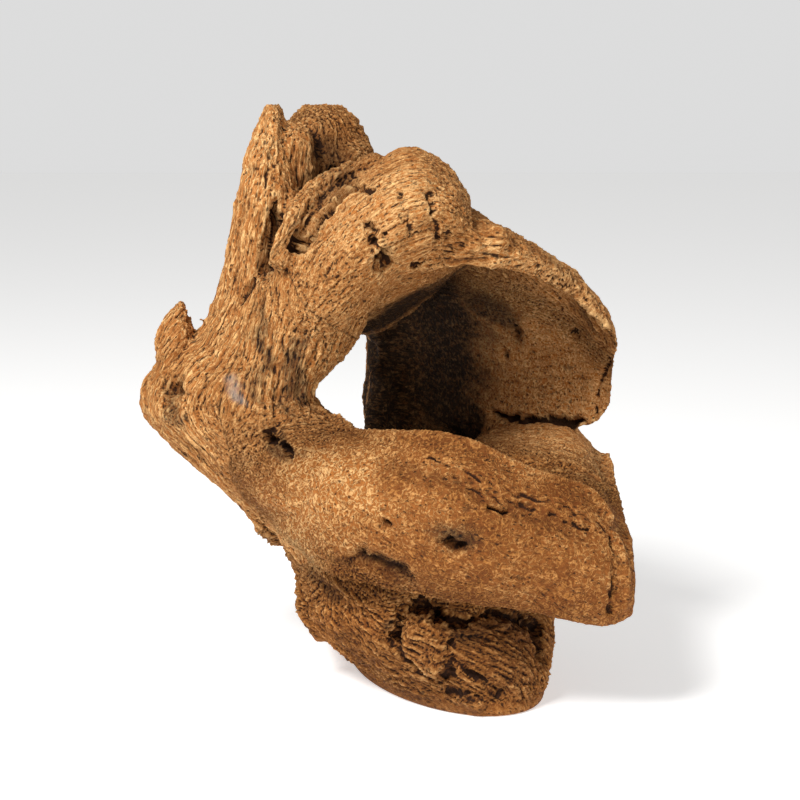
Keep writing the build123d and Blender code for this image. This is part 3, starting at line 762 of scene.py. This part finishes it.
def driftwood_resin(colours):
    """Filled polyester resin, cast from weathered driftwood, with stains and dry-brushing put on by hand.

    It gives the eye pale raised fibres over brown wood, dark pores and cracks, and no gloss; its colour also
    holds painted shade in hollows, cracks and the cave, a painted highlight on raised points and painted light on
    lit patches.
    """
    finish = bpy.data.materials.new("polyester_resin_cast_as_driftwood")
    finish.use_nodes = True
    tree = finish.node_tree
    tree.nodes.clear()

    def attribute(name, output="Fac"):
        return add_node(tree, "ShaderNodeAttribute", attribute_name=name).outputs[output]

    def math_of(operation, a, b=0.0, c=0.0):
        return add_node(tree, "ShaderNodeMath", {0: a, 1: b, 2: c}, operation=operation).outputs[0]

    def span(value, low, high, start=0.0, end=1.0):
        return add_node(tree, "ShaderNodeMapRange", {0: value, 1: low, 2: high, 3: start, 4: end}).outputs[0]

    def blend(share, a, b):
        colours_in = {key: linear(c) if isinstance(c, str) else c for key, c in ((6, a), (7, b))}
        made = add_node(tree, "ShaderNodeMix", {0: share, **colours_in}, data_type="RGBA", clamp_factor=True)
        return made.outputs[2]

    def noise(vector, scale, detail=2.0, roughness=0.55, distortion=0.0):
        return add_node(tree, "ShaderNodeTexNoise",
                        {"Vector": vector, "Scale": scale, "Detail": detail, "Roughness": roughness,
                         "Distortion": distortion}).outputs[0]

    space = attribute("grain_space", "Vector")
    where = add_node(tree, "ShaderNodeTexCoord").outputs["Object"]
    tangle = attribute("tangle")

    def in_grain(length, width):
        """The place in the wood, counted in pattern lengths; both sizes are millimetres."""
        along = span(tangle, 0.0, 1.0, 1 / (length * MM), 1 / (width * 1.8 * MM))
        across = 1 / (width * MM)
        scale = add_node(tree, "ShaderNodeCombineXYZ", {0: along, 1: across, 2: across}).outputs[0]
        return add_node(tree, "ShaderNodeVectorMath", {0: space, 1: scale}, operation="MULTIPLY").outputs[0]

    def thin_lines(pattern, width):
        """Lines where a pattern crosses its middle value."""
        return span(math_of("ABSOLUTE", math_of("SUBTRACT", pattern, 0.5)), 0.0, width, 1.0, 0.0)

    def pores(length, width, radius):
        """Slits along the grain, of mixed sizes, one or none in each cell of the pattern."""
        cell = add_node(tree, "ShaderNodeTexVoronoi", {"Vector": in_grain(length, width), "Scale": 1.0})
        chance = add_node(tree, "ShaderNodeSeparateColor", {0: cell.outputs["Color"]}).outputs[0]
        reach = math_of("MULTIPLY", chance, radius)
        return span(math_of("DIVIDE", cell.outputs["Distance"], reach), 0.6, 1.1, 1.0, 0.0)

    # Straight strands are 1.2 mm apart and 12 mm long, curled ones 2 mm, pores 1.1 mm apart and slits 1.7 mm.
    # Real fibres and pores are two or three times finer, and are drawn this coarse so that they show.
    straight = thin_lines(noise(in_grain(12.0, 1.2), 1.0, 2.0, 0.6, 0.5), 0.07)
    curled = thin_lines(noise(where, 1 / (2.0 * MM), 1.5, 0.5, 1.2), 0.08)
    strands = math_of("MAXIMUM", math_of("MULTIPLY", straight, span(tangle, 0.2, 0.8, 1.0, 0.0)),
                      math_of("MULTIPLY", curled, span(tangle, 0.1, 0.7, 0.2, 1.0)))
    slits = math_of("MULTIPLY", pores(9.0, 1.7, 0.24), span(tangle, 0.2, 0.9, 1.0, 0.2))
    pits = math_of("MAXIMUM", math_of("MULTIPLY", pores(2.6, 1.1, 0.34), 0.9), slits)
    weave = noise(in_grain(6.0, 1.1), 1.0, 3.0, 0.7, 0.5)
    grit = noise(where, 1 / (0.9 * MM), 2.0, 0.7)
    patches = noise(where, 1 / (20 * MM), 3.0, 0.6, 0.4)
    blots = noise(where, 1 / (6 * MM), 3.0, 0.65, 0.3)

    # How far each point lies below its neighbours, which the finish paints as shade, and above them, which it
    # paints as a highlight.
    crisp = attribute("crisp")
    broad = attribute("broad")
    tone = math_of("MULTIPLY_ADD", patches, 1.2, attribute("pale"))
    tone = math_of("MULTIPLY_ADD", blots, 0.9, tone)
    tone = math_of("MULTIPLY_ADD", weave, 1.5, tone)
    tone = math_of("MULTIPLY_ADD", grit, 0.8, tone)
    # Painted shade: broad hollows darken the tone.
    tone = math_of("MULTIPLY_ADD", broad, -0.35, tone)
    tone = math_of("MULTIPLY_ADD", attribute("raised"), 0.12, tone)
    base = blend(span(tone, 1.9, 3.2), colours.bark, colours.wood)
    pale_fibres_and_highlight = math_of("MULTIPLY", strands, span(tone, 1.7, 2.9, 0.45, 1.0))
    # Raised points made paler: partly dry-brushed paint, partly a painted highlight.
    pale_fibres_and_highlight = math_of("ADD", pale_fibres_and_highlight, span(crisp, -0.05, -0.3, 0.0, 0.6))
    base = blend(pale_fibres_and_highlight, base, blend(span(tone, 2.1, 3.2), colours.amber, colours.fibre))
    base = blend(math_of("MULTIPLY", pits, 0.85), base, colours.pore)
    # Painted shade: hollows among the fibres, broad hollows and carved cuts darken towards the pore colour, with
    # the pores' own dark.
    sunk = math_of("ADD", span(crisp, 0.02, 0.17, 0.0, 0.9), span(broad, 0.3, 1.8, 0.0, 0.7))
    sunk = math_of("MAXIMUM", sunk, math_of("MULTIPLY", attribute("pore"), 0.6))
    sunk = math_of("MAXIMUM", sunk, attribute("hollow"))
    base = blend(math_of("MINIMUM", sunk, 0.95), base, colours.pore)
    # Stains, and painted shade in the cave and in recesses, darken towards the darkest colour.
    dark = math_of("MULTIPLY", attribute("stain"), span(weave, 0.3, 0.62, 1.25, 0.75))
    base = blend(math_of("MINIMUM", dark, 0.96), base, colours.char)
    base = blend(math_of("MULTIPLY", attribute("grey"), 0.7), base, colours.stain)

    height = math_of("MULTIPLY_ADD", strands, 0.5, math_of("MULTIPLY", grit, 0.4))
    height = math_of("MULTIPLY_ADD", pits, -0.9, math_of("MULTIPLY_ADD", weave, 0.8, height))
    bump = add_node(tree, "ShaderNodeBump",
                    {"Height": height, "Strength": 0.9, "Distance": 0.6 * MM}).outputs[0]
    shader = add_node(tree, "ShaderNodeBsdfPrincipled",
                      {"Base Color": base, "Normal": bump, "Roughness": 0.82, "IOR": 1.5,
                       "Specular IOR Level": 0.2})
    add_node(tree, "ShaderNodeOutputMaterial", {"Surface": shader.outputs[0]})
    return finish


def turned_nylon(colours):
    """Nylon rod, cut and faced on a lathe: a waxy off-white with fine marks."""
    finish = bpy.data.materials.new("nylon_rod_turned")
    finish.use_nodes = True
    tree = finish.node_tree
    tree.nodes.clear()
    where = add_node(tree, "ShaderNodeTexCoord").outputs["Object"]
    marks = add_node(tree, "ShaderNodeTexNoise",
                     {"Vector": where, "Scale": 1 / (0.4 * MM), "Detail": 2.0}).outputs[0]
    bump = add_node(tree, "ShaderNodeBump",
                    {"Height": marks, "Strength": 0.3, "Distance": 0.05 * MM}).outputs[0]
    shader = add_node(tree, "ShaderNodeBsdfPrincipled",
                      {"Base Color": linear(colours.pin), "Normal": bump, "Roughness": 0.45, "IOR": 1.53,
                       "Subsurface Weight": 0.1, "Subsurface Radius": (0.001, 0.001, 0.001)})
    add_node(tree, "ShaderNodeOutputMaterial", {"Surface": shader.outputs[0]})
    return finish


# ---- operators ----

class CAVELOG_OT_castings(bpy.types.Operator):
    """Sculpts the log and saws it into its castings"""

    bl_idname = "cavelog.castings"
    bl_label = "Castings"

    def execute(self, context):
        mesh = sculpted_log(driftwood_resin(context.scene.cavelog_colours), context.scene.cavelog_sizes)
        whole = bmesh.new()
        whole.from_mesh(mesh)
        whole.faces.layers.int.new("cap")
        for node, part in saw(whole, SAWING):
            piece_mesh = bpy.data.meshes.new(node)
            part.to_mesh(piece_mesh)
            part.free()
            piece_mesh.materials.append(mesh.materials[0])
            shade(piece_mesh)
            piece = mesh_object(node.replace("_casting", "_weathered"), piece_mesh)
            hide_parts(node)
            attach(piece, "root")
        bpy.data.meshes.remove(mesh)
        return {"FINISHED"}


class CAVELOG_OT_pins(bpy.types.Operator):
    """Gives the locating pins their nylon"""

    bl_idname = "cavelog.pins"
    bl_label = "Locating pins"

    def execute(self, context):
        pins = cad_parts["locating_pins"]
        pins.data.materials.clear()
        pins.data.materials.append(turned_nylon(context.scene.cavelog_colours))
        return {"FINISHED"}


# Each lamp: name, watts, side in metres and place in metres, and the point that both look at.
LAMPS = (("key", 10.5, 0.3, (-0.4, -0.5, 0.78)), ("fill", 2.6, 0.7, (0.62, -0.85, 0.3)))
LAMPS_AIM = (0, 0, 0.09)
FLOOR_SIDE = 3.0  # half a side
# The camera: the point it looks at, how far off it stands, its tilt down and its lens.
CAMERA_AIM = (0.00742, -0.01269, 0.0914)
CAMERA_AWAY = 0.6045
CAMERA_TILT = math.radians(10)
CAMERA_LENS = 85


def white_surround():
    """A white room that shows bright behind the log and lights it only softly."""
    world = bpy.data.worlds.new("white_surround")
    world.use_nodes = True
    tree = world.node_tree
    tree.nodes.clear()
    seen = add_node(tree, "ShaderNodeLightPath").outputs["Is Camera Ray"]
    strength = add_node(tree, "ShaderNodeMapRange", {0: seen, 3: 0.22, 4: 0.72}).outputs[0]
    glow = add_node(tree, "ShaderNodeBackground", {"Color": (1, 1, 1, 1), "Strength": strength}).outputs[0]
    add_node(tree, "ShaderNodeOutputWorld", {"Surface": glow})
    return world


class CAVELOG_OT_stage(bpy.types.Operator):
    """Lays the pale floor and sets the lights and the camera"""

    bl_idname = "cavelog.stage"
    bl_label = "Stage"

    def execute(self, context):
        scene = context.scene
        paper = bpy.data.materials.new("matt_white_paper")
        paper.use_nodes = True
        shader = paper.node_tree.nodes["Principled BSDF"]
        shader.inputs["Base Color"].default_value = linear("f4f3f1")
        shader.inputs["Roughness"].default_value = 0.9
        shader.inputs["Emission Color"].default_value = (1, 1, 1, 1)
        shader.inputs["Emission Strength"].default_value = 0.5
        side = FLOOR_SIDE
        corners = [(-side, -side, 0), (side, -side, 0), (side, side, 0), (-side, side, 0)]
        mesh = bpy.data.meshes.new("floor")
        mesh.from_pydata(corners, [], [(0, 1, 2, 3)])
        mesh.materials.append(paper)
        mesh_object("floor", mesh)
        for name, power, size, spot in LAMPS:
            lamp = bpy.data.lights.new(name, "AREA")
            lamp.energy = power
            lamp.size = size
            made = mesh_object(name, lamp)
            made.location = spot
            made.rotation_euler = (Vector(LAMPS_AIM) - Vector(spot)).to_track_quat("-Z", "Y").to_euler()
        scene.world = white_surround()
        lens = bpy.data.cameras.new("camera")
        lens.lens = CAMERA_LENS
        lens.sensor_width = 36
        camera = mesh_object("camera", lens)
        back = Vector((0, -math.cos(CAMERA_TILT), math.sin(CAMERA_TILT)))
        camera.location = Vector(CAMERA_AIM) + CAMERA_AWAY * back
        camera.rotation_euler = (math.pi / 2 - CAMERA_TILT, 0, 0)
        scene.camera = camera
        scene.view_settings.view_transform = "Standard"
        return {"FINISHED"}


class CAVELOG_PT_panel(bpy.types.Panel):
    """Lists the steps that build the cave log"""

    bl_idname = "CAVELOG_PT_panel"
    bl_label = "Cave Log"
    bl_space_type = "VIEW_3D"
    bl_region_type = "UI"
    bl_category = "Cave Log"

    def draw(self, context):
        for group in (context.scene.cavelog_sizes, context.scene.cavelog_colours):
            for name in group.bl_rna.properties.keys():
                if name not in ("rna_type", "name"):
                    self.layout.prop(group, name)
        for operator in OPERATORS:
            self.layout.operator(operator.bl_idname)


OPERATORS = (CAVELOG_OT_castings, CAVELOG_OT_pins, CAVELOG_OT_stage)
CLASSES = (CAVELOG_PG_sizes, CAVELOG_PG_colours, *OPERATORS, CAVELOG_PT_panel)


def register():
    """Registers the classes, and puts the sizes and colours on the scene."""
    for cls in CLASSES:
        bpy.utils.register_class(cls)
    bpy.types.Scene.cavelog_sizes = bpy.props.PointerProperty(type=CAVELOG_PG_sizes)
    bpy.types.Scene.cavelog_colours = bpy.props.PointerProperty(type=CAVELOG_PG_colours)


def unregister():
    """Takes everything that register made away again."""
    del bpy.types.Scene.cavelog_colours
    del bpy.types.Scene.cavelog_sizes
    for cls in reversed(CLASSES):
        bpy.utils.unregister_class(cls)


def main():
    """Builds the log, its pins and its stage."""
    register()
    bpy.ops.cavelog.castings()
    bpy.ops.cavelog.pins()
    bpy.ops.cavelog.stage()


if __name__ == "__main__":
    main()
